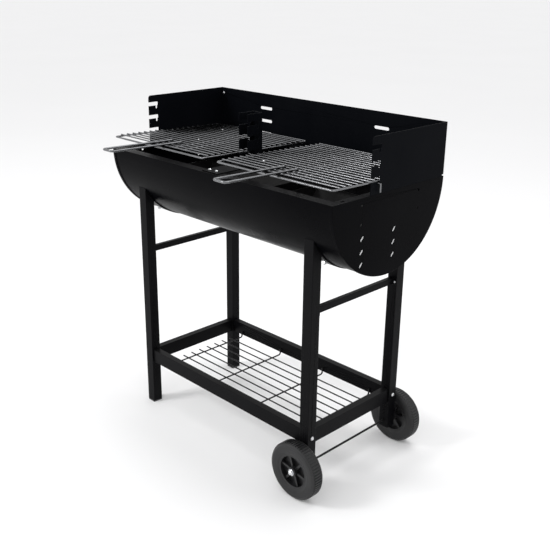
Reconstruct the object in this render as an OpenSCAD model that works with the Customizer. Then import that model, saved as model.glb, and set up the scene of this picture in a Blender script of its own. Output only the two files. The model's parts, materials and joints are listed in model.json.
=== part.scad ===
// Barrel charcoal grill on a wheeled tube frame.
// Millimetres. X runs along the barrel with the wheels at +X, the front is -Y, Z is up from the floor.

/* [Barrel] */
// Overall length of the trough between the outer faces of its end panels
barrel_length = 846; // [600:2:1000]
// Outer radius of the half-round trough
barrel_radius = 210; // [150:1:300]
// Height of the rim above the floor
rim_height = 800; // [600:1:950]
// Sheet thickness of the trough and windshield
sheet = 1.5; // [0.8:0.1:3]
// Width of the inward flange along the front and back rims
rim_flange = 30; // [12:1:45]
// Width of the inward flange along the end rims
end_flange = 24; // [12:1:40]

/* [Windshield] */
// Height of the windshield above the rim
shield_height = 137; // [80:1:200]
// Distance of the side panels' front edges in front of the barrel's centre line
shield_front = 80; // [40:1:160]
// Height step between two grid levels
level_pitch = 38; // [25:1:60]
// Number of grid levels
level_count = 3; // [1:1:4]

/* [Grids] */
// Depth of one cooking grid from front wire to back wire
grid_depth = 387; // [250:1:390]
// Distance from the grill's middle to the inner end of a grid
grid_inner = 27; // [24:1:60]
// Number of cooking wires on one grid
grid_wires = 19; // [8:1:30]
// Backward slope of the grids, which rest on their support wires
grid_tilt = 1.5; // [0:0.1:2]
// Length of the handle loop in front of the grid
handle_reach = 162; // [60:1:200]

/* [Frame] */
// Side of the square leg tube
leg_side = 30; // [20:1:50]
// Distance of the leg centres from the middle along X
leg_x = 329; // [250:1:380]
// Distance of the leg centres from the middle along Y
leg_y = 167; // [120:1:190]
// Height of the bottom rails
rail_height = 40; // [20:1:60]
// Width of the bottom rails
rail_width = 20; // [12:1:30]
// Height of the rails' top face above the floor
rail_top = 180; // [120:1:300]
// Height of the side crossbars' centre above the floor
crossbar_z = 505; // [300:1:560]

/* [Wheels] */
// Wheel diameter over the tread
wheel_diameter = 156; // [100:1:220]
// Wheel width
wheel_width = 38; // [20:1:60]
// Number of tread blocks round the wheel
tread_blocks = 64; // [12:1:72]
// Axle rod diameter
axle_diameter = 6; // [5:0.5:12]

/* [Hidden] */
$fn = 64;

// Clearance that keeps a moving piece off a fixed one
gap = 0.3;
// Overshoot of a cutter past the surface it cuts
over = 1;

panel_x = barrel_length / 2;
shell_x = panel_x - sheet;
lip_length = 10;
hem_drop = 9;
rim_edge_y = barrel_radius - rim_flange;
rim_edge_x = panel_x - end_flange;

// End panel vents and the four holes for an optional side handle
vent_columns = [-102, 18];
vent_rows = [-99, -132, -164];
vent_length = 15;
vent_width = 5.5;
vent_slant = 50;
handle_hole_y = 108;
handle_hole_z = [-18, -64];
handle_hole_r = 3.25;
flange_slot_y = -163;

// Windshield
shield_top = rim_height + shield_height;
shield_face_y = barrel_radius + 1;
shield_x = panel_x - 0.5;
corner_flange = 22;
foot_flange = 18;
relief = 6;
relief_height = 4;
corner_bolt_x = shield_x - sheet - 9;
corner_bolt_z = [rim_height + 17, shield_top - 17];
foot_screw_x = [-300, -100, 100, 300];
foot_screw_side_y = 60;
notch_height = 11;
notch_inner = 5.5;
pocket_drop = 9;
support_y = -52;
support_z = 824;
support_d = 5;
notch_floor = support_z - support_d / 2 - gap + pocket_drop;
slot_width = 49;
slot_height = 8.5;
slot_z = 817.5;

// Centre strap and post
strap_width = 60;
strap_thick = 2.5;
strap_half = barrel_radius - 6;
strap_top = rim_height + strap_thick;
strap_screw_x = [-18, 8];
strap_screw_y = 188;
post_half = 17;
post_front = -88;
post_back = -35;
post_foot = 24;
post_screw_x = 9;

// Grids
frame_d = 5;
cook_d = 4;
loop_d = 6;
weld = 0.4;
grid_outer = 418;
grid_front = -204;
grid_back = grid_front + grid_depth;
grid_frame_z = support_z + support_d / 2 + frame_d / 2 - weld;
grid_cook_z = grid_frame_z + frame_d / 2 + cook_d / 2 - weld;
loop_z = grid_cook_z + cook_d / 2 + loop_d / 2;
loop_x = 220;
loop_half = 21;
loop_bend = 9;
frame_bend = 6;
frame_inset = 1.5;
tongue_z = slot_z - 0.9;
tongue_end = 216;
front_reach = -grid_front + handle_reach;
// Height of the handle wire above the support wire, and where its ends are in the sloping plane
loop_lift = loop_z - support_z;
tip_y = support_y - (front_reach - loop_d / 2 + support_y + loop_lift * sin(grid_tilt)) / cos(grid_tilt);
step_y = grid_front + 3.5 * grid_depth / grid_wires - loop_bend + 2;
// Centre of the wire's bend down to the tongue, to a tenth of a millimetre
step_in = step_y - support_y;
step_up = loop_lift - loop_bend;
step_centre_y = round(10 * (support_y + step_in * cos(grid_tilt) + step_up * sin(grid_tilt))) / 10;
step_centre_z = round(10 * (support_z - step_in * sin(grid_tilt) + step_up * cos(grid_tilt))) / 10;
// Weld bead that joins the handle's bars to the bends, and the slit between them inside it
bead_d = 7.6;
bead_slit = 0.5;
hook_x = shield_x + 6;
hook_bottom = rim_height + 5;
inner_hook_x = 9;
inner_hook_bottom = 812;

// Charcoal trays
tray_inner_x = 34;
tray_outer_x = shell_x - gap;
tray_floor_half = 110;
tray_top_half = 165;
tray_side_z = 700;
tray_top_z = 712;
tray_clear = 0.35;
tray_sheet = 1.5;
tray_slots = 7;

// Frame
tube_wall = 1.5;
leg_foot = 4;
right_leg_bottom = 58;
saddle_thick = 3;
saddle_bolt_y = 120;
saddle_bolt_angle = asin(saddle_bolt_y / barrel_radius);
head_lift = 0.12;
crossbar_w = 12;
crossbar_h = 18;
crossbar_inset = 4;
crossbar_plate = 2;
crossbar_screw_dx = 9;
leg_in_y = leg_y - leg_side / 2;
leg_in_x = leg_x - leg_side / 2;
leg_out_x = leg_x + leg_side / 2;
leg_out_y = leg_y + leg_side / 2;
rail_z = rail_top - rail_height / 2;
rail_plate = 4;

// Shelf
shelf_z = 134;
shelf_long_d = 4;
shelf_cross_d = 4.5;
shelf_rows = 8;
shelf_row_pitch = 32;
shelf_half = 288;
shelf_cross_x = [-270, -90, 90, 270];
shelf_bend = 7;
shelf_hook_z = 152;
shelf_hook_y = leg_y - rail_width / 2 - 3.6;

// Wheels
axle_z = wheel_diameter / 2;
axle_r = axle_diameter / 2;
bore_r = axle_r + 0.06;
washer_t = 1.5;
wheel_y = leg_out_y + washer_t + 2.5 + wheel_width / 2;
hub_r = 13;
hub_in = leg_out_y + washer_t + gap;
hub_out = wheel_y + wheel_width / 2;
outer_washer = hub_out + gap;
nut_start = outer_washer + washer_t;
nut_length = 6;
rim_r = 47;
wheel_rim_in = 42;
spokes = 6;
groove_depth = 2.4;
groove_width = 3.4;

// Largest reach of the grill to the back; front_reach is the one to the front
back_reach = nut_start + nut_length;
shift_y = (front_reach - back_reach) / 2;

// Everything is drawn about the barrel's axis; this puts the middle of the footprint at the origin.
module placed() {
    translate([0, shift_y, 0]) children();
}

module bar_x(x0, x1, y, z, d) {
    translate([x0, y, z]) rotate([0, 90, 0]) cylinder(d = d, h = x1 - x0);
}

module bar_y(x, y0, y1, z, d) {
    translate([x, y0, z]) rotate([-90, 0, 0]) cylinder(d = d, h = y1 - y0);
}

module bar_z(x, y, z0, z1, d) {
    translate([x, y, z0]) cylinder(d = d, h = z1 - z0);
}

// Bend of a wire in the XY plane, from the +X side round towards the +Y side
module elbow(bend, d, turn = 90) {
    rotate_extrude(angle = turn) translate([bend, 0]) circle(d = d);
}

// Closed wire loop with round corners in the XY plane
module wire_loop(x0, x1, y0, y1, bend, d) {
    bar_x(x0 + bend, x1 - bend, y0, 0, d);
    bar_x(x0 + bend, x1 - bend, y1, 0, d);
    bar_y(x0, y0 + bend, y1 - bend, 0, d);
    bar_y(x1, y0 + bend, y1 - bend, 0, d);
    translate([x1 - bend, y1 - bend, 0]) elbow(bend, d);
    translate([x0 + bend, y1 - bend, 0]) rotate([0, 0, 90]) elbow(bend, d);
    translate([x0 + bend, y0 + bend, 0]) rotate([0, 0, 180]) elbow(bend, d);
    translate([x1 - bend, y0 + bend, 0]) rotate([0, 0, 270]) elbow(bend, d);
}

// Hexagon bolt head or nut along +Z
module hexagon(across, h) {
    cylinder(d = across / cos(30), h = h, $fn = 6);
}

// Low domed screw head along +Z
module pan_head(r, h) {
    cylinder(r = r, h = h * 0.45);
    translate([0, 0, h * 0.45]) cylinder(r1 = r, r2 = r * 0.55, h = h * 0.55);
}

// Extrudes a YZ outline, given as (y, z), along X from x0 to x1
module along_x(x0, x1) {
    translate([x0, 0, 0]) rotate([90, 0, 90]) linear_extrude(x1 - x0) children();
}

// Half disc below the rim, in the YZ plane
module half_disc(r) {
    intersection() {
        translate([0, rim_height]) circle(r = r, $fn = 180);
        translate([-r - over, rim_height - r - over]) square([2 * r + 2 * over, r + over]);
    }
}

module barrel_section() {
    difference() {
        half_disc(barrel_radius);
        difference() {
            half_disc(barrel_radius - sheet);
            translate([-barrel_radius, rim_height - sheet]) square([2 * barrel_radius, sheet + over]);
        }
        translate([-rim_edge_y, rim_height - sheet - over]) square([2 * rim_edge_y, sheet + 2 * over]);
    }
    for (s = [-1, 1])
        translate([s * (rim_edge_y + sheet / 2) - sheet / 2, rim_height - hem_drop])
            square([sheet, hem_drop]);
}

// Position of one saddle bolt, with +Z pointing out of the barrel
module at_saddle_bolt(x, s) {
    translate([x, 0, rim_height]) rotate([180 + s * saddle_bolt_angle, 0, 0])
        translate([0, 0, barrel_radius]) children();
}

module barrel_shell() {
    color([0.13, 0.13, 0.14]) difference() {
        along_x(-shell_x, shell_x) barrel_section();
        for (x = [-leg_x, leg_x], s = [-1, 1])
            at_saddle_bolt(x, s) translate([0, 0, -10]) cylinder(r = 3.2, h = 20);
        for (x = strap_screw_x, s = [-1, 1])
            translate([x, s * strap_screw_y, rim_height - 5]) cylinder(r = 2.6, h = 10);
        for (x = foot_screw_x)
            translate([x, shield_face_y - sheet - foot_flange / 2, rim_height - 5])
                cylinder(r = 2.2, h = 10);
    }
}

module vent() {
    rotate([0, 0, vent_slant]) {
        square([vent_length - vent_width, vent_width], center = true);
        for (s = [-1, 1]) translate([s * (vent_length - vent_width) / 2, 0]) circle(d = vent_width);
    }
}

// Right-hand end panel; the left one is its mirror image
module end_panel() {
    color([0.1, 0.1, 0.11]) {
        difference() {
            union() {
                along_x(shell_x, panel_x) half_disc(barrel_radius + sheet);
                along_x(panel_x - lip_length, panel_x) difference() {
                    half_disc(barrel_radius + sheet);
                    half_disc(barrel_radius);
                }
                translate([rim_edge_x, -rim_edge_y + gap, rim_height - sheet])
                    cube([end_flange, 2 * rim_edge_y - 2 * gap, sheet]);
                translate([rim_edge_x, -rim_edge_y + gap, rim_height - hem_drop])
                    cube([sheet, 2 * rim_edge_y - 2 * gap, hem_drop]);
            }
            for (y = vent_columns, z = vent_rows)
                translate([0, y, rim_height + z]) along_x(shell_x - over, panel_x + over) vent();
            for (s = [-1, 1], z = handle_hole_z)
                translate([shell_x - over, s * handle_hole_y, rim_height + z]) rotate([0, 90, 0])
                    cylinder(r = handle_hole_r, h = sheet + 2 * over);
            translate([panel_x - 15, flange_slot_y - 7, rim_height - 5]) cube([5, 14, 10]);
            translate([panel_x - 14, foot_screw_side_y, rim_height - 5]) cylinder(r = 2.2, h = 10);
        }
    }
}

module right_end_panel() {
    end_panel();
}

module left_end_panel() {
    mirror([1, 0, 0]) end_panel();
}

// Outline of a hooked notch in the (y, z) plane: a slot open to the front with a pocket at its inner end
module notch(front, level) {
    floor_z = notch_floor + level * level_pitch;
    inner = support_y + notch_inner;
    translate([front - over, floor_z]) square([inner - front + over - 3, notch_height]);
    translate([inner - 3, floor_z + 3]) square([3, notch_height - 6]);
    translate([inner - 3, floor_z + notch_height - 3]) circle(r = 3);
    translate([inner - 3, floor_z + 3]) circle(r = 3);
    translate([support_y, floor_z - pocket_drop + support_d / 2 + gap]) circle(r = support_d / 2 + gap);
    translate([support_y - support_d / 2 - gap, floor_z - pocket_drop + support_d / 2 + gap])
        square([support_d + 2 * gap, pocket_drop + 2]);
}

module shield_side_outline() {
    round_r = 8;
    top_y = shield_face_y - sheet;
    difference() {
        union() {
            translate([-shield_front, rim_height])
                square([top_y + shield_front, shield_height - round_r]);
            translate([-shield_front + round_r, rim_height])
                square([top_y + shield_front - round_r, shield_height]);
            translate([-shield_front + round_r, shield_top - round_r]) circle(r = round_r);
        }
        for (i = [0 : level_count - 1]) notch(-shield_front, i);
    }
}

// Small square relief where the side and back panels meet above the rim
module corner_relief() {
    translate([shield_x - relief, shield_face_y - relief, rim_height - over])
        cube([relief + over, relief + over, relief_height + over]);
}

module windshield_right() {
    flange_y = shield_face_y - 2 * sheet;
    color([0.1, 0.1, 0.11]) difference() {
        union() {
            along_x(shield_x - sheet, shield_x) shield_side_outline();
            translate([shield_x - corner_flange, flange_y, rim_height])
                cube([corner_flange, sheet, shield_height]);
            translate([shield_x - foot_flange, -shield_front + 45, rim_height])
                cube([foot_flange, shield_front - 45 + flange_y - foot_flange - 2, sheet]);
        }
        corner_relief();
        for (z = corner_bolt_z)
            translate([corner_bolt_x, flange_y - over, z]) rotate([-90, 0, 0]) cylinder(r = 2.6, h = 4);
        translate([panel_x - 14, foot_screw_side_y, rim_height - 5]) cylinder(r = 2.2, h = 10);
    }
}

module windshield_left() {
    mirror([1, 0, 0]) windshield_right();
}

module windshield_back() {
    face = shield_face_y - sheet;
    color([0.1, 0.1, 0.11]) difference() {
        union() {
            translate([-shield_x, face, rim_height]) cube([2 * shield_x, sheet, shield_height]);
            translate([-shield_x + corner_flange + 1, face - foot_flange, rim_height])
                cube([2 * (shield_x - corner_flange - 1), foot_flange, sheet]);
        }
        for (s = [0, 1]) mirror([s, 0, 0]) corner_relief();
        for (s = [-1, 1], i = [0 : level_count - 1])
            translate([s * loop_x, face - over, slot_z + i * level_pitch]) rotate([-90, 0, 0])
                linear_extrude(sheet + 2 * over) {
                    square([slot_width - slot_height, slot_height], center = true);
                    for (t = [-1, 1]) translate([t * (slot_width - slot_height) / 2, 0])
                        circle(d = slot_height);
                }
        for (s = [-1, 1], z = corner_bolt_z)
            translate([s * corner_bolt_x, face - over, z]) rotate([-90, 0, 0]) cylinder(r = 2.6, h = 4);
        for (x = foot_screw_x)
            translate([x, face - foot_flange / 2, rim_height - 5]) cylinder(r = 2.2, h = 10);
    }
}

// Pan-head bolts through the corner flanges with nuts behind the back panel
module windshield_bolts() {
    flange_y = shield_face_y - 2 * sheet;
    color([0.8, 0.8, 0.78]) for (s = [-1, 1], z = corner_bolt_z) translate([s * corner_bolt_x, 0, z]) {
        translate([0, flange_y, 0]) rotate([90, 0, 0]) pan_head(4.8, 3.2);
        translate([0, flange_y, 0]) rotate([-90, 0, 0]) cylinder(r = 2.5, h = 2 * sheet + 5.5);
        translate([0, shield_face_y, 0]) rotate([-90, 0, 0]) hexagon(8, 4);
    }
}

// Screws that hold the windshield's bottom flanges on the rim
module windshield_screws() {
    color([0.25, 0.25, 0.26]) {
        for (x = foot_screw_x)
            translate([x, shield_face_y - sheet - foot_flange / 2, rim_height + sheet]) foot_screw();
        for (s = [-1, 1])
            translate([s * (panel_x - 14), foot_screw_side_y, rim_height + sheet]) foot_screw();
    }
}

module foot_screw() {
    pan_head(3.8, 2.6);
    translate([0, 0, -8]) cylinder(r = 2.1, h = 8);
}

// Flat strap across the trough that carries the centre post
module centre_strap() {
    color([0.12, 0.12, 0.13]) difference() {
        translate([-strap_width / 2, -strap_half, rim_height])
            cube([strap_width, 2 * strap_half - foot_flange + 2, strap_thick]);
        for (x = strap_screw_x, s = [-1, 1])
            translate([x, s * strap_screw_y, rim_height - 5]) cylinder(r = 2.6, h = 12);
        for (s = [-1, 1])
            translate([s * post_screw_x, post_back + post_foot / 2, rim_height - 5])
                cylinder(r = 2.6, h = 12);
    }
}

module strap_screws() {
    color([0.8, 0.8, 0.78]) for (x = strap_screw_x, s = [-1, 1]) translate([x, s * strap_screw_y, 0]) {
        translate([0, 0, strap_top]) pan_head(4.5, 3);
        translate([0, 0, rim_height - 8]) cylinder(r = 2.5, h = 8 + strap_thick);
        translate([0, 0, rim_height - sheet - 4]) hexagon(8, 4);
    }
}

// Upright channel between the two grids, open to the front, with the same notches as the side panels
module centre_post() {
    bottom = strap_top;
    color([0.1, 0.1, 0.11]) difference() {
        union() {
            difference() {
                translate([-post_half, post_front, bottom])
                    cube([2 * post_half, post_back - post_front, shield_top - bottom]);
                translate([-post_half + sheet, post_front - over, bottom - over])
                    cube([2 * (post_half - sheet), post_back - post_front - sheet + over,
                        shield_top - bottom + 2 * over]);
            }
            translate([-post_half, post_back - sheet, bottom]) cube([2 * post_half, post_foot + sheet, sheet]);
        }
        for (i = [0 : level_count - 1]) along_x(-post_half - over, post_half + over) notch(post_front, i);
        for (s = [-1, 1])
            translate([s * post_screw_x, post_back + post_foot / 2, rim_height - 5])
                cylinder(r = 2.6, h = 15);
    }
}

module post_screws() {
    screw_y = post_back + post_foot / 2;
    color([0.8, 0.8, 0.78]) for (s = [-1, 1]) translate([s * post_screw_x, screw_y, 0]) {
        translate([0, 0, strap_top + sheet]) pan_head(4.5, 3);
        translate([0, 0, rim_height - 6]) cylinder(r = 2.5, h = 6 + strap_thick + sheet);
        translate([0, 0, rim_height - 4]) hexagon(8, 4);
    }
}

// Support wire under the grid, with both ends bent down behind the side panel and inside the post
module support_wire() {
    bar_x(inner_hook_x, hook_x, support_y, support_z, support_d);
    for (x = [inner_hook_x, hook_x]) translate([x, support_y, support_z]) sphere(d = support_d);
    bar_z(hook_x, support_y, hook_bottom, support_z, support_d);
    bar_z(inner_hook_x, support_y, inner_hook_bottom, support_z, support_d);
}

// Slopes a grid down to the back about its support wire
module sloped() {
    translate([0, support_y, support_z]) rotate([-grid_tilt, 0, 0])
        translate([0, -support_y, -support_z]) children();
}

module grid() {
    pitch = grid_depth / grid_wires;
    frame_x0 = grid_inner + frame_inset;
    frame_x1 = grid_outer - frame_inset;
    last_y = grid_back - 3;
    color([0.75, 0.76, 0.78]) {
        sloped() {
            translate([0, 0, grid_frame_z])
                wire_loop(frame_x0, frame_x1, grid_front, grid_back, frame_bend, frame_d);
            for (i = [1 : grid_wires])
                bar_x(grid_inner, grid_outer, min(grid_front + i * pitch, last_y), grid_cook_z, cook_d);
        }
        support_wire();
    }
}

// Closed end of the handle wire, its straight part at y; side is -1 in front and 1 behind
module loop_end(y, z, side) {
    translate([loop_x, y - side * loop_bend, z]) {
        bar_x(-loop_half + loop_bend, loop_half - loop_bend, side * loop_bend, 0, loop_d);
        translate([loop_half - loop_bend, 0, 0]) rotate([0, 0, side > 0 ? 0 : 270])
            elbow(loop_bend, loop_d);
        translate([-loop_half + loop_bend, 0, 0]) rotate([0, 0, side > 0 ? 90 : 180])
            elbow(loop_bend, loop_d);
    }
}

// Step of the handle wire, through the grid from above the cooking wires to the tongue below them
module loop_step(x) {
    translate([x, step_centre_y, step_centre_z]) rotate([90, 0, 90])
        elbow(loop_bend, loop_d, 90 - grid_tilt);
    translate([x, step_centre_y, step_centre_z + loop_bend]) sphere(d = bead_d);
    bar_z(x, step_centre_y + loop_bend, tongue_z + loop_bend, step_centre_z, loop_d);
    translate([x, step_centre_y + 2 * loop_bend, tongue_z + loop_bend]) rotate([90, 180, 90])
        elbow(loop_bend, loop_d);
}

// One wire bent into a long loop: handle on top of the front cooking wires, tongue for the windshield slot
module grid_handle() {
    color([0.75, 0.76, 0.78]) {
        sloped() {
            for (s = [-1, 1])
                bar_y(loop_x + s * loop_half, tip_y + loop_bend, step_y - bead_slit, loop_z, loop_d);
            loop_end(tip_y, loop_z, -1);
        }
        for (x = [loop_x - loop_half, loop_x + loop_half]) {
            loop_step(x);
            bar_y(x, step_centre_y + 2 * loop_bend, tongue_end - loop_bend, tongue_z, loop_d);
        }
        loop_end(tongue_end, tongue_z, 1);
    }
}

module right_grid() {
    grid();
}

module left_grid() {
    mirror([1, 0, 0]) grid();
}

module right_grid_handle() {
    grid_handle();
}

module left_grid_handle() {
    mirror([1, 0, 0]) grid_handle();
}

// Cross-section of a charcoal tray: flat floor, sloping sides and upright top lips
module tray_section(inset, top_extra) {
    floor_z = rim_height - sqrt(pow(barrel_radius - sheet, 2) - pow(tray_floor_half, 2)) + tray_clear;
    polygon([
        [-tray_floor_half + inset * 0.8, floor_z + inset],
        [tray_floor_half - inset * 0.8, floor_z + inset],
        [tray_top_half - inset, tray_side_z], [tray_top_half - inset, tray_top_z + top_extra],
        [-tray_top_half + inset, tray_top_z + top_extra], [-tray_top_half + inset, tray_side_z]
    ]);
}

module charcoal_tray() {
    slot_pitch = (tray_outer_x - tray_inner_x) / tray_slots;
    color([0.82, 0.83, 0.83]) difference() {
        along_x(tray_inner_x, tray_outer_x) tray_section(0, 0);
        along_x(tray_inner_x + tray_sheet, tray_outer_x - tray_sheet) tray_section(tray_sheet, over);
        for (i = [0 : tray_slots - 1], y = [-70, 0, 70])
            translate([tray_inner_x + (i + 0.5) * slot_pitch, y, 625]) cube([6, 44, 20], center = true);
    }
}

module right_charcoal_tray() {
    charcoal_tray();
}

module left_charcoal_tray() {
    mirror([1, 0, 0]) charcoal_tray();
}

// Square tube leg whose top follows the underside of the barrel
module leg(sx, sy, bottom) {
    top = rim_height - 60;
    inner = leg_side - 2 * tube_wall;
    color([0.11, 0.11, 0.12]) difference() {
        translate([sx * leg_x - leg_side / 2, sy * leg_y - leg_side / 2, bottom])
            cube([leg_side, leg_side, top - bottom]);
        translate([sx * leg_x - inner / 2, sy * leg_y - inner / 2, bottom - over])
            cube([inner, inner, top - bottom + 2 * over]);
        translate([sx * leg_x - leg_side, 0, rim_height]) rotate([0, 90, 0])
            cylinder(r = barrel_radius, h = 2 * leg_side, $fn = 180);
        translate([sx * leg_x - leg_side, sy * leg_y, rail_z]) rotate([0, 90, 0])
            cylinder(r = 3.2, h = 2 * leg_side);
        translate([sx * (leg_x + crossbar_screw_dx), sy * (leg_in_y - over), crossbar_z])
            rotate([-sy * 90, 0, 0])
            cylinder(r = 2.1, h = tube_wall + 2 * over);
        if (sx > 0) translate([leg_x, sy * leg_y - leg_side, axle_z]) rotate([-90, 0, 0])
            cylinder(r = axle_r, h = 2 * leg_side);
    }
}

module front_left_leg() {
    leg(-1, -1, leg_foot);
}

module rear_left_leg() {
    leg(-1, 1, leg_foot);
}

module front_right_leg() {
    leg(1, -1, right_leg_bottom);
}

module rear_right_leg() {
    leg(1, 1, right_leg_bottom);
}

// Plastic plugs that the two left legs stand on
module foot_caps() {
    plug = leg_side - 2 * tube_wall;
    color([0.08, 0.08, 0.08]) for (s = [-1, 1]) translate([-leg_x, s * leg_y, 0]) {
        translate([-leg_side / 2, -leg_side / 2, 0]) cube([leg_side, leg_side, leg_foot]);
        translate([-plug / 2, -plug / 2, leg_foot]) cube([plug, plug, 14]);
    }
}

// Curved strip under the barrel between a front and a rear leg
module saddle(sx) {
    color([0.11, 0.11, 0.12]) difference() {
        intersection() {
            along_x(sx * leg_x - leg_side / 2, sx * leg_x + leg_side / 2) difference() {
                half_disc(barrel_radius + saddle_thick);
                half_disc(barrel_radius);
            }
            translate([-leg_x - leg_side, -leg_in_y, 0])
                cube([2 * leg_x + 2 * leg_side, 2 * leg_in_y, rim_height]);
        }
        for (s = [-1, 1]) at_saddle_bolt(sx * leg_x, s) translate([0, 0, -5]) cylinder(r = 3.2, h = 12);
    }
}

module left_saddle() {
    saddle(-1);
}

module right_saddle() {
    saddle(1);
}

// Round-head bolts from inside the barrel with nuts under the saddles
module saddle_bolts() {
    color([0.8, 0.8, 0.78]) for (x = [-leg_x, leg_x], s = [-1, 1]) at_saddle_bolt(x, s) {
        translate([0, 0, -sheet - head_lift - 2]) cylinder(r = 6, h = 2);
        translate([0, 0, -sheet - head_lift]) cylinder(r = 3, h = sheet + head_lift + saddle_thick + 7);
        translate([0, 0, saddle_thick]) hexagon(10, 5);
    }
}

// Rectangular bar between the legs of one side, with screwed end plates
module crossbar(sx) {
    x = sx * (leg_x - crossbar_inset);
    plate_mid = sx * (leg_x + 1);
    color([0.11, 0.11, 0.12]) {
        difference() {
            translate([x - crossbar_w / 2, -leg_in_y + crossbar_plate, crossbar_z - crossbar_h / 2])
                cube([crossbar_w, 2 * (leg_in_y - crossbar_plate), crossbar_h]);
            translate([x - crossbar_w / 2 + tube_wall, -leg_in_y, crossbar_z - crossbar_h / 2])
                translate([0, 0, tube_wall])
                cube([crossbar_w - 2 * tube_wall, 2 * leg_in_y, crossbar_h - 2 * tube_wall]);
        }
        for (s = [-1, 1]) difference() {
            translate([plate_mid, s * (leg_in_y - crossbar_plate / 2), crossbar_z])
                cube([leg_side - 4, crossbar_plate, crossbar_h], center = true);
            translate([sx * (leg_x + crossbar_screw_dx), s * leg_in_y, crossbar_z]) rotate([90, 0, 0])
                cylinder(r = 2.3, h = 10, center = true);
        }
    }
}

module left_crossbar() {
    crossbar(-1);
}

module right_crossbar() {
    crossbar(1);
}

module crossbar_screws() {
    color([0.7, 0.7, 0.68]) for (sx = [-1, 1], s = [-1, 1])
        translate([sx * (leg_x + crossbar_screw_dx), s * (leg_in_y - crossbar_plate), crossbar_z])
            rotate([s * 90, 0, 0]) {
                pan_head(3.6, 2.4);
                translate([0, 0, -9]) cylinder(r = 2.05, h = 9);
            }
}

// Rectangular tube with closed threaded ends, between a left and a right leg
module long_rail(sy) {
    inner_w = rail_width - 2 * tube_wall;
    inner_h = rail_height - 2 * tube_wall;
    color([0.11, 0.11, 0.12]) difference() {
        translate([-leg_in_x, sy * leg_y - rail_width / 2, rail_top - rail_height])
            cube([2 * leg_in_x, rail_width, rail_height]);
        translate([-leg_in_x + rail_plate, sy * leg_y - inner_w / 2, rail_top - rail_height + tube_wall])
            cube([2 * (leg_in_x - rail_plate), inner_w, inner_h]);
        for (s = [-1, 1]) translate([s * leg_in_x, sy * leg_y, rail_z]) rotate([0, 90, 0])
            cylinder(r = 3.02, h = 20, center = true);
        for (x = shelf_cross_x) translate([x, sy * (leg_y - rail_width / 2), shelf_hook_z])
            rotate([90, 0, 0])
            cylinder(d = shelf_cross_d + 0.4, h = 5, center = true);
    }
}

module front_rail() {
    long_rail(-1);
}

module rear_rail() {
    long_rail(1);
}

// Rectangular tube welded between the front and rear leg of one side
module side_rail(sx) {
    inner_w = rail_width - 2 * tube_wall;
    inner_h = rail_height - 2 * tube_wall;
    color([0.11, 0.11, 0.12]) difference() {
        translate([sx * leg_x - rail_width / 2, -leg_in_y, rail_top - rail_height])
            cube([rail_width, 2 * leg_in_y, rail_height]);
        translate([sx * leg_x - inner_w / 2, -leg_in_y - over, rail_top - rail_height + tube_wall])
            cube([inner_w, 2 * leg_in_y + 2 * over, inner_h]);
    }
}

module left_rail() {
    side_rail(-1);
}

module right_rail() {
    side_rail(1);
}

// Bolts through the legs into the ends of the front and rear rails
module frame_bolts() {
    color([0.8, 0.8, 0.78]) for (sx = [-1, 1], sy = [-1, 1])
        translate([sx * leg_out_x, sy * leg_y, rail_z]) rotate([0, sx * 90, 0]) {
            pan_head(5.5, 4);
            translate([0, 0, -leg_side - 12]) cylinder(r = 3, h = leg_side + 12);
        }
}

// Wire shelf: long wires on cross wires whose ends turn up and hook into the front and rear rails
module bottom_shelf() {
    hook_end = leg_y - rail_width / 2 + tube_wall + 3;
    long_z = shelf_z + (shelf_cross_d + shelf_long_d) / 2 - weld;
    color([0.12, 0.12, 0.12]) {
        for (i = [0 : shelf_rows - 1]) {
            y = (i - (shelf_rows - 1) / 2) * shelf_row_pitch;
            bar_x(-shelf_half, shelf_half, y, long_z, shelf_long_d);
        }
        for (x = shelf_cross_x) {
            bar_y(x, -shelf_hook_y + shelf_bend, shelf_hook_y - shelf_bend, shelf_z, shelf_cross_d);
            for (s = [-1, 1]) {
                translate([x, s * (shelf_hook_y - shelf_bend), shelf_z + shelf_bend])
                    rotate([90, 90, s * 90]) elbow(shelf_bend, shelf_cross_d);
                bar_z(x, s * shelf_hook_y, shelf_z + shelf_bend, shelf_hook_z, shelf_cross_d);
                translate([x, s * shelf_hook_y, shelf_hook_z]) sphere(d = shelf_cross_d);
                translate([x, s * shelf_hook_y, shelf_hook_z]) rotate([-s * 90, 0, 0])
                    cylinder(d = shelf_cross_d, h = hook_end - shelf_hook_y);
            }
        }
    }
}

module axle() {
    color([0.15, 0.15, 0.16]) bar_y(leg_x, -nut_start - 3, nut_start + 3, axle_z, axle_diameter);
}

module ring_y(y0, y1, r0, r1) {
    translate([leg_x, y0, axle_z]) rotate([-90, 0, 0]) difference() {
        cylinder(r = r1, h = y1 - y0);
        translate([0, 0, -over]) cylinder(r = r0, h = y1 - y0 + 2 * over);
    }
}

module axle_washers() {
    color([0.7, 0.7, 0.7]) for (s = [0, 1]) mirror([0, s, 0]) {
        ring_y(leg_out_y, leg_out_y + washer_t, axle_r, 9);
        ring_y(outer_washer, outer_washer + washer_t, axle_r, 9);
    }
}

// Push-on cap nuts on the axle ends
module axle_nuts() {
    color([0.82, 0.82, 0.8]) for (s = [0, 1]) mirror([0, s, 0])
        translate([leg_x, nut_start, axle_z]) rotate([-90, 0, 0]) difference() {
            union() {
                cylinder(r = 6.8, h = nut_length - 3);
                translate([0, 0, nut_length - 3]) cylinder(r1 = 6.8, r2 = 4, h = 3);
            }
            translate([0, 0, -over]) cylinder(r = axle_r, h = 3 + over);
        }
}

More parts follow.
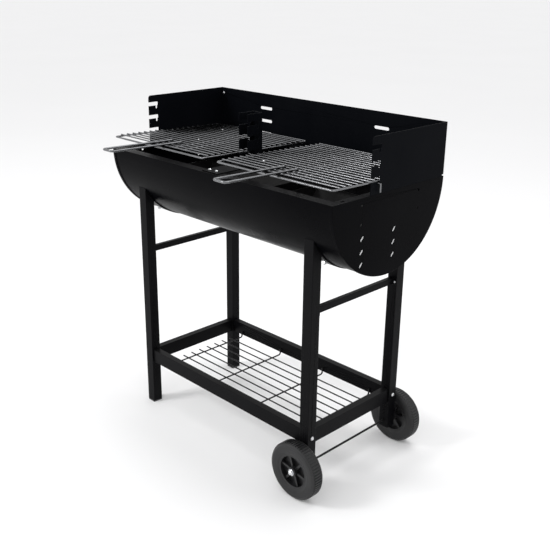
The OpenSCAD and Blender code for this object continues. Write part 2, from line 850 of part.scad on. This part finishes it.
// Plastic wheel centre with a hub tube, a web and spoke ribs, drawn about its own axis along Z.
// -Z is the outer side.
module hub_shape() {
    inner = wheel_y - hub_in;
    outer = hub_out - wheel_y;
    half = wheel_width / 2 - 3;
    difference() {
        union() {
            translate([0, 0, -outer]) cylinder(r = hub_r, h = outer + inner);
            translate([0, 0, -3]) cylinder(r = rim_r - 1, h = 6);
            difference() {
                translate([0, 0, -half]) cylinder(r = rim_r, h = 2 * half);
                translate([0, 0, -half - over]) cylinder(r = wheel_rim_in, h = 2 * half + 2 * over);
            }
            for (i = [0 : spokes - 1]) rotate([0, 0, i * 360 / spokes + 10])
                translate([hub_r - 2, -3, -half + 4]) cube([wheel_rim_in - hub_r + 3, 6, 2 * half - 8]);
        }
        translate([0, 0, -outer - over]) cylinder(r = bore_r, h = outer + inner + 2 * over);
    }
}

module tyre_shape() {
    half = wheel_width / 2;
    top = wheel_diameter / 2;
    difference() {
        rotate_extrude($fn = 128) polygon([
            [rim_r, -half + 3], [rim_r + 6, -half + 1], [rim_r + 16, -half], [top - 8, -half],
            [top - 3, -half + 2.5], [top, -half + 7], [top, half - 7], [top - 3, half - 2.5],
            [top - 8, half], [rim_r + 16, half], [rim_r + 6, half - 1], [rim_r, half - 3]
        ]);
        for (i = [0 : tread_blocks - 1]) rotate([0, 0, i * 360 / tread_blocks])
            translate([top - groove_depth, -groove_width / 2, -half - over])
                cube([2 * groove_depth, groove_width, wheel_width + 2 * over]);
    }
}

module at_front_wheel() {
    translate([leg_x, -wheel_y, axle_z]) rotate([-90, 0, 0]) children();
}

module at_rear_wheel() {
    translate([leg_x, wheel_y, axle_z]) rotate([90, 0, 0]) children();
}

module front_wheel_hub() {
    color([0.09, 0.09, 0.09]) at_front_wheel() hub_shape();
}

module rear_wheel_hub() {
    color([0.09, 0.09, 0.09]) at_rear_wheel() hub_shape();
}

module front_wheel_tyre() {
    color([0.07, 0.07, 0.07]) at_front_wheel() tyre_shape();
}

module rear_wheel_tyre() {
    color([0.07, 0.07, 0.07]) at_rear_wheel() tyre_shape();
}

placed() barrel_shell();
placed() left_end_panel();
placed() right_end_panel();
placed() windshield_back();
placed() windshield_left();
placed() windshield_right();
placed() windshield_bolts();
placed() windshield_screws();
placed() centre_strap();
placed() strap_screws();
placed() centre_post();
placed() post_screws();
placed() left_grid();
placed() left_grid_handle();
placed() right_grid();
placed() right_grid_handle();
placed() left_charcoal_tray();
placed() right_charcoal_tray();
placed() front_left_leg();
placed() rear_left_leg();
placed() front_right_leg();
placed() rear_right_leg();
placed() foot_caps();
placed() left_saddle();
placed() right_saddle();
placed() saddle_bolts();
placed() left_crossbar();
placed() right_crossbar();
placed() crossbar_screws();
placed() front_rail();
placed() rear_rail();
placed() left_rail();
placed() right_rail();
placed() frame_bolts();
placed() bottom_shelf();
placed() axle();
placed() axle_washers();
placed() axle_nuts();
placed() front_wheel_hub();
placed() front_wheel_tyre();
placed() rear_wheel_hub();
placed() rear_wheel_tyre();
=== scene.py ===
"""Looks of the barrel charcoal grill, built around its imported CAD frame. Metres, frame axes."""

import json
import math
import random

import bmesh
import bpy
from mathutils import Matrix, Vector


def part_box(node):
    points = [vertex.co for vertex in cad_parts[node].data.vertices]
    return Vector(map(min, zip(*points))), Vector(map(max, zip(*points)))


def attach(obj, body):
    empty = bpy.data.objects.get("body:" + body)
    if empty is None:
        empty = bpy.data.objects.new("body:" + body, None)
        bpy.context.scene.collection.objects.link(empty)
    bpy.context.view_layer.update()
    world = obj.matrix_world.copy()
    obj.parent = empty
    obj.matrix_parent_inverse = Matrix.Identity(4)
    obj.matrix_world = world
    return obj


SEED = 7
FLOOR_RADIUS = 60.0

# Wires of the grids and the shelf, as the CAD has them. A grid slopes back about the axis of
# its support wire, given as (y, z). Its front wire is at GRID_FRONT from that axis, and the
# heights of its joints are those of the level grid.
GRID_WIRES = 19
GRID_TILT = math.radians(1.5)
GRID_PIVOT = (0.0151, 0.824)
GRID_FRONT = -0.152
GRID_DEPTH = 0.387
GRID_INNER_X = 0.027
GRID_OUTER_X = 0.418
GRID_INSET = 0.0015
LAST_WIRE_INSET = 0.003
GRID_JOINT_Z = 0.8309
HANDLE_D = 0.006
HANDLE_JOINT_Z = 0.8348
HANDLE_WIRES = 3
SHELF_ROWS = 8
SHELF_PITCH = 0.032
SHELF_CROSS_X = (-0.27, -0.09, 0.09, 0.27)
SHELF_JOINT_Z = 0.1361

# Half-sizes of the weld nuggets, and how far their size and direction stray
GRID_NUGGET = (0.0024, 0.0021, 0.0010)
SHELF_NUGGET = (0.0024, 0.0026, 0.0011)
NUGGET_GROWTH = (0.9, 1.12)
NUGGET_TURN = 0.25

# Camera: where it looks, from how far, and from which side
CAMERA_TARGET = (-0.106, 0.1486, 0.459)
CAMERA_DISTANCE = 2.4408
CAMERA_AZIMUTH = 46.13
CAMERA_ELEVATION = 19.8
CAMERA_ROLL = 0.35
CAMERA_LENS = 53.08
CAMERA_SHIFT = (0.0254, -0.0228)

# Studio: how high in the sky each tone begins, the tones and the strength
SKY_PLACES = (0.30, 0.75)
SKY_COLOURS = ((0.96, 0.96, 0.96, 1.0), (0.95, 0.95, 0.96, 1.0))
SKY_STRENGTH = 1.06

# Past this distance from the middle, over a narrow blend, a charcoal tray's outer end is painted
# bright: painted light that shows through the end panel's vent slots
TRAY_SLOT_LIGHT_X = 0.4202
TRAY_SLOT_LIGHT_BLEND = 0.0006

# Dust that settles on faces turned up, fine specks in sprayed paint, and scuffed plastic
DUST = (0.10, 0.098, 0.094)
SPECK = (0.06, 0.06, 0.06)
SCUFF = (0.07, 0.068, 0.065)

# Sheets and tubes whose edges are rounded, with the radius of the rounding
ROUNDED = {
    "barrel_shell": 0.0006,
    "left_end_panel": 0.0006,
    "right_end_panel": 0.0006,
    "windshield_back": 0.0005,
    "windshield_left": 0.0005,
    "windshield_right": 0.0005,
    "centre_strap": 0.0005,
    "centre_post": 0.0005,
    "left_charcoal_tray": 0.0005,
    "right_charcoal_tray": 0.0005,
    "front_left_leg": 0.0007,
    "rear_left_leg": 0.0007,
    "front_right_leg": 0.0007,
    "rear_right_leg": 0.0007,
    "left_saddle": 0.0006,
    "right_saddle": 0.0006,
    "left_crossbar": 0.0006,
    "right_crossbar": 0.0006,
    "front_rail": 0.0007,
    "rear_rail": 0.0007,
    "left_rail": 0.0007,
    "right_rail": 0.0007,
    "foot_caps": 0.001,
}


class Finish:
    """A node material under construction, with the object's own coordinates for its textures."""

    def __init__(self, name):
        self.slot = name
        self.mat = bpy.data.materials.new(name)
        self.mat.use_nodes = True
        self.tree = self.mat.node_tree
        self.tree.nodes.clear()
        out = self.tree.nodes.new("ShaderNodeOutputMaterial")
        self.shader = self.tree.nodes.new("ShaderNodeBsdfPrincipled")
        self.link(self.shader.outputs["BSDF"], out.inputs["Surface"])
        self.place = self.tree.nodes.new("ShaderNodeTexCoord").outputs["Object"]
        self.normal = None

    def link(self, source, target):
        self.tree.links.new(source, target)

    def feed(self, value, socket):
        if isinstance(value, bpy.types.NodeSocket):
            self.link(value, socket)
        elif isinstance(value, (tuple, list)) and len(value) == 3 and socket.type == "RGBA":
            socket.default_value = (*value, 1.0)
        else:
            socket.default_value = value

    def set(self, **values):
        for key, value in values.items():
            self.feed(value, self.shader.inputs[key.replace("_", " ")])

    def stretched(self, factors):
        node = self.tree.nodes.new("ShaderNodeMapping")
        self.link(self.place, node.inputs["Vector"])
        node.inputs["Scale"].default_value = factors
        return node.outputs["Vector"]

    def noise(self, scale, detail=2.0, rough=0.5, factors=None, warp=0.0):
        node = self.tree.nodes.new("ShaderNodeTexNoise")
        self.link(self.stretched(factors) if factors else self.place, node.inputs["Vector"])
        node.inputs["Scale"].default_value = scale
        node.inputs["Detail"].default_value = detail
        node.inputs["Roughness"].default_value = rough
        node.inputs["Distortion"].default_value = warp
        return node.outputs["Fac"]

    def cells(self, scale, feature="F1", output="Distance"):
        node = self.tree.nodes.new("ShaderNodeTexVoronoi")
        node.feature = feature
        self.link(self.place, node.inputs["Vector"])
        node.inputs["Scale"].default_value = scale
        return node.outputs[output]

    def grey(self, colour):
        node = self.tree.nodes.new("ShaderNodeSeparateColor")
        self.link(colour, node.inputs["Color"])
        return node.outputs["Red"]

    def span(self, value, low, high, start=0.0, end=1.0):
        node = self.tree.nodes.new("ShaderNodeMapRange")
        for socket, item in zip(node.inputs, (value, low, high, start, end)):
            self.feed(item, socket)
        return node.outputs["Result"]

    def math(self, operation, a, b=0.0):
        node = self.tree.nodes.new("ShaderNodeMath")
        node.operation = operation
        self.feed(a, node.inputs[0])
        self.feed(b, node.inputs[1])
        return node.outputs["Value"]

    def blend(self, factor, a, b):
        node = self.tree.nodes.new("ShaderNodeMix")
        node.data_type = "RGBA"
        self.feed(factor, node.inputs[0])
        self.feed(a, node.inputs[6])
        self.feed(b, node.inputs[7])
        return node.outputs[2]

    def facing_up(self):
        geometry = self.tree.nodes.new("ShaderNodeNewGeometry")
        split = self.tree.nodes.new("ShaderNodeSeparateXYZ")
        self.link(geometry.outputs["Normal"], split.inputs["Vector"])
        return split.outputs["Z"]

    def along(self, axis):
        split = self.tree.nodes.new("ShaderNodeSeparateXYZ")
        self.link(self.place, split.inputs["Vector"])
        return split.outputs[axis]

    def bump(self, height, depth, strength=1.0):
        node = self.tree.nodes.new("ShaderNodeBump")
        node.inputs["Strength"].default_value = strength
        node.inputs["Distance"].default_value = depth
        self.link(height, node.inputs["Height"])
        if self.normal is not None:
            self.link(self.normal, node.inputs["Normal"])
        self.normal = node.outputs["Normal"]
        self.link(self.normal, self.shader.inputs["Normal"])


def paint(name, colour, worn, rough, gloss, peel, peel_depth, wave_depth, dust):
    """Sprayed or powder-coated paint: orange peel, waves of the sheet, cloudy gloss and dust."""
    f = Finish(name)
    cloud = f.noise(7.0, 4.0, 0.55)
    fine = f.noise(90.0, 3.0, 0.6)
    shade = f.blend(f.span(cloud, 0.35, 0.7), colour, worn)
    settled = f.math("MULTIPLY", f.span(f.facing_up(), 0.35, 1.0), f.span(fine, 0.3, 0.8, 0.4, 1.0))
    shade = f.blend(f.math("MULTIPLY", settled, dust), shade, DUST)
    speck = f.span(f.noise(900.0, 1.0), 0.74, 0.78)
    shade = f.blend(f.math("MULTIPLY", speck, 0.25), shade, SPECK)
    patches, grain = f.span(cloud, 0.3, 0.75, -0.04, 0.07), f.span(fine, 0.3, 0.7, -0.03, 0.03)
    smudge = f.math("ADD", patches, grain)
    rubbed = f.span(f.noise(16.0, 2.0, 0.5, (1.0, 1.0, 6.0), 0.6), 0.62, 0.7, 0.0, 0.05)
    f.set(Base_Color=shade, Roughness=f.math("ADD", f.math("ADD", smudge, rubbed), rough))
    f.set(IOR=1.5, Specular_IOR_Level=gloss)
    f.bump(f.noise(3.2, 1.0), wave_depth)
    f.bump(f.noise(peel, 2.0, 0.45), peel_depth)
    return f


def bright_metal(name, colour, tarnish, rough, scratch, factors, depth):
    """Plated or drawn metal: directional scratches, cloudy smudges and small stains."""
    f = Finish(name)
    cloud = f.noise(26.0, 4.0, 0.6)
    lines = f.noise(scratch, 4.0, 0.7, factors)
    stain = f.span(f.noise(70.0, 5.0, 0.65), 0.56, 0.72)
    shade = f.blend(f.span(cloud, 0.35, 0.7), colour, tarnish)
    shade = f.blend(f.math("MULTIPLY", stain, 0.35), shade, tuple(0.45 * c for c in tarnish))
    gloss = f.math("ADD", f.span(cloud, 0.3, 0.75, 0.0, 0.12), f.span(lines, 0.35, 0.7, 0.0, 0.10))
    f.set(Base_Color=shade, Metallic=1.0, Roughness=f.math("ADD", gloss, rough))
    f.bump(lines, depth)
    return f


def moulded(name, colour, worn, rough, grain, depth, scuff):
    """Moulded plastic: spark-eroded grain, faint flow marks and scuffs."""
    f = Finish(name)
    flow = f.noise(22.0, 4.0, 0.6, None, 0.8)
    scuffed = f.span(f.noise(55.0, 6.0, 0.7), 0.55, 0.75)
    shade = f.blend(f.span(flow, 0.3, 0.7), colour, worn)
    shade = f.blend(f.math("MULTIPLY", scuffed, scuff), shade, SCUFF)
    f.set(Base_Color=shade, IOR=1.49, Specular_IOR_Level=0.4)
    smudge = f.span(flow, 0.3, 0.7, -0.05, 0.06)
    f.set(Roughness=f.math("ADD", smudge, f.span(scuffed, 0.0, 1.0, rough, rough + 0.14)))
    f.bump(f.noise(grain, 2.0, 0.6), depth)
    return f


def tray_with_painted_slot_light(name):
    """Black enamel, with the tray's outer end painted bright grey metal as painted light that shows
    through the end panel's vent slots.
    """
    f = paint(
        name, (0.0075, 0.0075, 0.008), (0.011, 0.011, 0.0115),
        rough=0.44, gloss=0.15, peel=380.0, peel_depth=0.00006, wave_depth=0.0, dust=0.30,
    )
    # Painted light: past this distance the outer end turns bright grey metal, standing in for light
    # seen through the vent slots
    distance = f.math("ABSOLUTE", f.along("X"))
    slot_light_mask = f.span(distance, TRAY_SLOT_LIGHT_X, TRAY_SLOT_LIGHT_X + TRAY_SLOT_LIGHT_BLEND)
    slot_light_grain = f.grey(f.cells(260.0, "F1", "Color"))
    slot_light_colour = f.blend(slot_light_grain, (0.80, 0.81, 0.82), (0.95, 0.955, 0.96))
    painted = f.shader.inputs["Base Color"].links[0].from_socket
    gloss = f.shader.inputs["Roughness"].links[0].from_socket
    f.set(Base_Color=f.blend(slot_light_mask, painted, slot_light_colour), Metallic=f.math("MULTIPLY", slot_light_mask, 0.35))
    f.set(Roughness=f.math("MAXIMUM", gloss, f.math("MULTIPLY", slot_light_mask, 0.5)))
    return f


def finishes():
    """One finish for each material slot of the record."""
    made = [
        paint(
            "barrel_enamel", (0.0012, 0.0012, 0.0017), (0.0020, 0.0020, 0.0026),
            rough=0.31, gloss=0.02, peel=420.0, peel_depth=0.00004, wave_depth=0.004, dust=0.05,
        ),
        paint(
            "shield_enamel", (0.0026, 0.0030, 0.0042), (0.0038, 0.0043, 0.0056),
            rough=0.42, gloss=0.015, peel=480.0, peel_depth=0.00005, wave_depth=0.003, dust=0.05,
        ),
        paint(
            "frame_paint", (0.0028, 0.0028, 0.0034), (0.0044, 0.0044, 0.0050),
            rough=0.36, gloss=0.05, peel=520.0, peel_depth=0.00005, wave_depth=0.0, dust=0.05,
        ),
        paint(
            "shelf_wire", (0.0060, 0.0060, 0.0066), (0.0095, 0.0095, 0.0102),
            rough=0.30, gloss=0.22, peel=700.0, peel_depth=0.00003, wave_depth=0.0, dust=0.05,
        ),
        bright_metal(
            "chrome_wire", (0.205, 0.209, 0.217), (0.135, 0.137, 0.142),
            rough=0.15, scratch=60.0, factors=(1.0, 14.0, 14.0), depth=0.00003,
        ),
        tray_with_painted_slot_light("tray_enamel"),
        bright_metal(
            "zinc_fastener", (0.78, 0.79, 0.80), (0.62, 0.63, 0.64),
            rough=0.20, scratch=900.0, factors=(1.0, 1.0, 1.0), depth=0.00003,
        ),
        paint(
            "axle_steel", (0.0060, 0.0060, 0.0064), (0.010, 0.010, 0.0105),
            rough=0.34, gloss=0.2, peel=650.0, peel_depth=0.00003, wave_depth=0.0, dust=0.05,
        ),
        bright_metal(
            "cap_steel", (0.76, 0.77, 0.79), (0.60, 0.61, 0.63),
            rough=0.16, scratch=700.0, factors=(1.0, 1.0, 1.0), depth=0.00002,
        ),
        bright_metal(
            "black_screw", (0.10, 0.10, 0.105), (0.05, 0.05, 0.052),
            rough=0.32, scratch=900.0, factors=(1.0, 1.0, 1.0), depth=0.00003,
        ),
        moulded(
            "foot_plastic", (0.008, 0.008, 0.009), (0.014, 0.014, 0.015),
            rough=0.46, grain=1500.0, depth=0.00004, scuff=0.35,
        ),
        moulded(
            "hub_plastic", (0.007, 0.007, 0.0075), (0.011, 0.011, 0.012),
            rough=0.36, grain=1300.0, depth=0.00004, scuff=0.12,
        ),
        moulded(
            "tyre_plastic", (0.008, 0.008, 0.0085), (0.013, 0.013, 0.014),
            rough=0.42, grain=1100.0, depth=0.00006, scuff=0.2,
        ),
    ]
    return {f.slot: f.mat for f in made}


def soften(obj, width):
    """Small rounded edges on a sheet or tube, so that they catch the light."""
    weld = obj.modifiers.new("close_seams", "WELD")
    weld.merge_threshold = 1e-6
    bevel = obj.modifiers.new("round_edges", "BEVEL")
    bevel.width = width
    bevel.segments = 2
    bevel.limit_method = "ANGLE"
    bevel.angle_limit = math.radians(40)
    bevel.harden_normals = False
    bevel.use_clamp_overlap = True
    normals = obj.modifiers.new("even_normals", "WEIGHTED_NORMAL")
    normals.keep_sharp = False
    normals.weight = 100


def nugget_mesh(name, places, radii):
    """Many small flattened weld nuggets in one mesh, given their points and three half-sizes."""
    mesh = bpy.data.meshes.new(name)
    bm = bmesh.new()
    rnd = random.Random(SEED)
    for p in places:
        grown = [r * rnd.uniform(*NUGGET_GROWTH) for r in radii]
        turn = Matrix.Rotation(rnd.uniform(-NUGGET_TURN, NUGGET_TURN), 4, "Z")
        matrix = Matrix.Translation(p) @ turn @ Matrix.Diagonal((*grown, 1.0))
        bmesh.ops.create_uvsphere(bm, u_segments=10, v_segments=6, radius=1.0, matrix=matrix)
    for face in bm.faces:
        face.smooth = True
    bm.to_mesh(mesh)
    bm.free()
    obj = bpy.data.objects.new(name, mesh)
    bpy.context.scene.collection.objects.link(obj)
    return obj


def on_slope(x, y, z):
    """A point of a grid's own plane, turned back about the support wire as the grid is."""
    run, rise = y - GRID_PIVOT[0], z - GRID_PIVOT[1]
    turned_y = run * math.cos(GRID_TILT) + rise * math.sin(GRID_TILT)
    turned_z = rise * math.cos(GRID_TILT) - run * math.sin(GRID_TILT)
    return (x, GRID_PIVOT[0] + turned_y, GRID_PIVOT[1] + turned_z)


def grid_nuggets(node, body):
    """Spot welds where a grid's cooking wires rest on its frame wire and carry the handle loop."""
    _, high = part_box(node)
    handle_low, handle_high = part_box(node + "_handle")
    front = GRID_PIVOT[0] + GRID_FRONT
    pitch = GRID_DEPTH / GRID_WIRES
    side = 1 if high.x > 0 else -1
    inner, outer = side * (GRID_INNER_X + GRID_INSET), side * (GRID_OUTER_X - GRID_INSET)
    places = []
    for i in range(1, GRID_WIRES + 1):
        y = front + min(i * pitch, GRID_DEPTH - LAST_WIRE_INSET)
        for x in (inner, outer):
            places.append(on_slope(x, y, GRID_JOINT_Z))
        if i <= HANDLE_WIRES:
            for x in (handle_low.x + HANDLE_D / 2, handle_high.x - HANDLE_D / 2):
                places.append(on_slope(x, y, HANDLE_JOINT_Z))
    obj = nugget_mesh(node + "_welds", places, GRID_NUGGET)
    obj.data.materials.append(made["chrome_wire"])
    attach(obj, body)


def shelf_nuggets():
    """Spot welds between the shelf's long wires and its cross wires."""
    low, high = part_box("bottom_shelf")
    middle = (low.y + high.y) / 2
    places = []
    for x in SHELF_CROSS_X:
        for i in range(SHELF_ROWS):
            places.append((x, middle + (i - (SHELF_ROWS - 1) / 2) * SHELF_PITCH, SHELF_JOINT_Z))
    obj = nugget_mesh("shelf_welds", places, SHELF_NUGGET)
    obj.data.materials.append(made["shelf_wire"])
    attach(obj, "grill")


def camera():
    azimuth, elevation = math.radians(CAMERA_AZIMUTH), math.radians(CAMERA_ELEVATION)
    level = math.cos(elevation)
    back = Vector((math.sin(azimuth) * level, -math.cos(azimuth) * level, math.sin(elevation)))
    right = (-back).cross(Vector((0, 0, 1))).normalized()
    up = right.cross(-back)
    roll = math.radians(CAMERA_ROLL)
    turned_right = right * math.cos(roll) + up * math.sin(roll)
    turned_up = up * math.cos(roll) - right * math.sin(roll)
    data = bpy.data.cameras.new("camera")
    data.sensor_width = 36.0
    data.lens = CAMERA_LENS
    data.shift_x, data.shift_y = CAMERA_SHIFT
    data.clip_end = 200.0
    obj = bpy.data.objects.new("camera", data)
    bpy.context.scene.collection.objects.link(obj)
    matrix = Matrix((turned_right, turned_up, back)).transposed().to_4x4()
    matrix.translation = Vector(CAMERA_TARGET) + back * CAMERA_DISTANCE
    obj.matrix_world = matrix
    bpy.context.scene.camera = obj


def floor():
    mesh = bpy.data.meshes.new("floor")
    bm = bmesh.new()
    bmesh.ops.create_circle(bm, cap_ends=True, segments=96, radius=FLOOR_RADIUS)
    bm.to_mesh(mesh)
    bm.free()
    obj = bpy.data.objects.new("floor", mesh)
    bpy.context.scene.collection.objects.link(obj)
    f = Finish("floor_paper")
    cloud = f.noise(0.8, 3.0)
    f.set(Base_Color=f.blend(cloud, (0.86, 0.86, 0.86), (0.885, 0.885, 0.885)))
    f.set(Roughness=0.9, Specular_IOR_Level=0.1)
    mesh.materials.append(f.mat)


def soft_light(name, place, aim, size, power):
    data = bpy.data.lights.new(name, "AREA")
    data.shape = "RECTANGLE"
    data.size, data.size_y = size
    data.energy = power
    obj = bpy.data.objects.new(name, data)
    bpy.context.scene.collection.objects.link(obj)
    obj.location = place
    obj.rotation_mode = "QUATERNION"
    obj.rotation_quaternion = (Vector(aim) - Vector(place)).to_track_quat("-Z", "Y")


def studio():
    floor()
    world = bpy.data.worlds.new("studio")
    world.use_nodes = True
    tree = world.node_tree
    tree.nodes.clear()
    coord = tree.nodes.new("ShaderNodeTexCoord")
    split = tree.nodes.new("ShaderNodeSeparateXYZ")
    tree.links.new(coord.outputs["Generated"], split.inputs["Vector"])
    ramp = tree.nodes.new("ShaderNodeValToRGB")
    for element, place, colour in zip(ramp.color_ramp.elements, SKY_PLACES, SKY_COLOURS):
        element.position = place
        element.color = colour
    tree.links.new(split.outputs["Z"], ramp.inputs["Fac"])
    background = tree.nodes.new("ShaderNodeBackground")
    background.inputs["Strength"].default_value = SKY_STRENGTH
    tree.links.new(ramp.outputs["Color"], background.inputs["Color"])
    out = tree.nodes.new("ShaderNodeOutputWorld")
    tree.links.new(background.outputs["Background"], out.inputs["Surface"])
    bpy.context.scene.world = world
    soft_light("key", place=(-1.6, -2.6, 2.6), aim=(0, 0, 0.7), size=(0.9, 0.9), power=55.0)
    soft_light("top", place=(0.4, 0.9, 3.2), aim=(0, 0, 0.5), size=(2.0, 1.4), power=25.0)
    bpy.context.scene.view_settings.view_transform = "Standard"
    bpy.context.scene.view_settings.look = "None"


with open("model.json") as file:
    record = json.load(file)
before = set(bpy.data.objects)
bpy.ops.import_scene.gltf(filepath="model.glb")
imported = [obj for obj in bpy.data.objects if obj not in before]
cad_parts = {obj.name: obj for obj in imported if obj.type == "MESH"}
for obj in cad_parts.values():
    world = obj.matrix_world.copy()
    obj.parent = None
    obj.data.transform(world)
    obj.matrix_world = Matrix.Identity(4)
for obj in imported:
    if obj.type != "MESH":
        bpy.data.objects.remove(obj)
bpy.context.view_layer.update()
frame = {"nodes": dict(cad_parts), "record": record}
slots = {part["node"]: part["material_slot"] for part in frame["record"]["subparts"]}
made = finishes()
for node, obj in frame["nodes"].items():
    obj.data.materials.clear()
    obj.data.materials.append(made[slots[node]])

for node, radius in ROUNDED.items():
    soften(frame["nodes"][node], radius)
grid_nuggets("left_grid", "left_grid")
grid_nuggets("right_grid", "right_grid")
shelf_nuggets()

camera()
studio()
